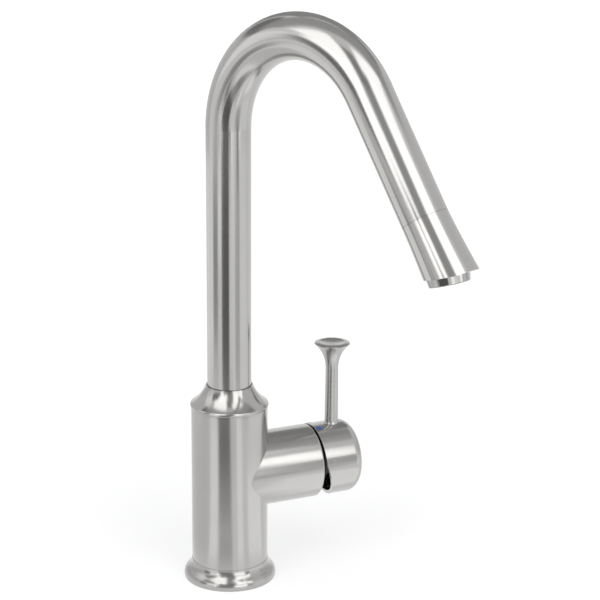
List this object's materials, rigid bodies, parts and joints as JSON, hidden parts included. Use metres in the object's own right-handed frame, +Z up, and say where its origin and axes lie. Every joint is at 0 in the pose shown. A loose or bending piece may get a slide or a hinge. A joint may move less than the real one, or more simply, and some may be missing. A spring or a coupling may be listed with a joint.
{
  "type": "kitchen faucet",
  "caption": "Single-lever kitchen faucet: tall arched swivel spout with a pull-down spray head, tilting side handle with an upright flared lever, and a moulded base ring.",
  "frame": {"origin": "centre of the body's underside, in the mouth of the shank's threaded hole, where the faucet stands on the deck", "axes": "+Z up along the body; +X out along the valve branch, through the handle's cap; at rest the spout points 68.4 degrees from +X towards -Y, over the sink in front"},
  "size_m": [0.1234, 0.2225, 0.3958],
  "materials": {
    "satin_steel": "satin brushed stainless steel",
    "polished_steel": "polished stainless steel",
    "bonnet_steel": "dark satin steel",
    "brass": "machined brass",
    "black_acetal": "black low-friction plastic",
    "grey_plastic": "grey glass-filled plastic",
    "white_plastic": "white acetal",
    "black_rubber": "black seal rubber",
    "grey_rubber": "soft grey silicone",
    "ceramic": "dense white alumina ceramic",
    "hose_sleeve": "grey braided nylon over rubber",
    "cold_blue": "blue enamel",
    "hot_red": "red enamel"
  },
  "bodies": {
    "valve": {"valve_body": "satin_steel", "base_ring": "polished_steel", "base_gasket": "black_rubber", "spout_collar": "polished_steel", "spout_bush": "black_acetal", "slip_rings": "white_plastic", "cartridge_base": "grey_plastic", "cartridge_seals": "black_rubber", "fixed_disc": "ceramic", "cartridge_housing": "white_plastic", "cartridge_nut": "brass", "bonnet": "bonnet_steel"},
    "spout": {"spout_tube": "satin_steel", "spout_spigot": "brass", "spigot_orings": "black_rubber", "dock_insert": "black_acetal", "hose_run": "hose_sleeve"},
    "hose_end": {"hose_tail": "hose_sleeve", "hose_connector": "brass", "connector_oring": "black_rubber"},
    "spray_head": {"head_shell": "satin_steel", "head_core": "black_acetal", "check_valve": "white_plastic"},
    "nozzle": {"nozzle_ring": "polished_steel", "spray_face": "grey_rubber", "aerator": "white_plastic"},
    "rotor": {"mixer_rotor": "black_acetal", "stem_pin": "polished_steel"},
    "disc": {"moving_disc": "ceramic", "disc_carrier": "grey_plastic"},
    "handle": {"stem": "brass", "handle_cap": "satin_steel", "lever": "satin_steel", "set_screw": "bonnet_steel", "screw_plug": "satin_steel", "cold_mark": "cold_blue", "hot_mark": "hot_red"}
  },
  "joints": [
    {"name": "spout_swivel", "type": "hinge", "parent": "valve", "child": "spout", "pos_m": [0, 0, 0.1], "axis": [0, 0, 1], "continuous": true},
    {"name": "spray_pull", "type": "slide", "parent": "spout", "child": "hose_end", "axis": [0.201, -0.5078, -0.8377], "range_m": [0, 0.08]},
    {"name": "head_swivel", "type": "hinge", "parent": "hose_end", "child": "spray_head", "pos_m": [0.06261, -0.15813, 0.27554], "axis": [0.201, -0.5078, -0.8377], "continuous": true},
    {"name": "nozzle_turn", "type": "hinge", "parent": "spray_head", "child": "nozzle", "pos_m": [0.06756, -0.17062, 0.25492], "axis": [0.1082, -0.2734, -0.9558], "range_deg": [0, 60]},
    {"name": "temperature_turn", "type": "hinge", "parent": "valve", "child": "rotor", "pos_m": [0.05302, 0, 0.0748], "axis": [1, 0, 0], "range_deg": [-45, 45]},
    {"name": "flow_tilt", "type": "hinge", "parent": "rotor", "child": "handle", "pos_m": [0.05302, 0, 0.0748], "axis": [0, 1, 0], "range_deg": [0, 20]},
    {"name": "disc_slide", "type": "slide", "parent": "rotor", "child": "disc", "axis": [0, 0, 1], "range_m": [0, 0.0035]}
  ],
  "couplings": [
    {"joint": "disc_slide", "follows": "flow_tilt", "m_per_rad": 0.009798}
  ]
}
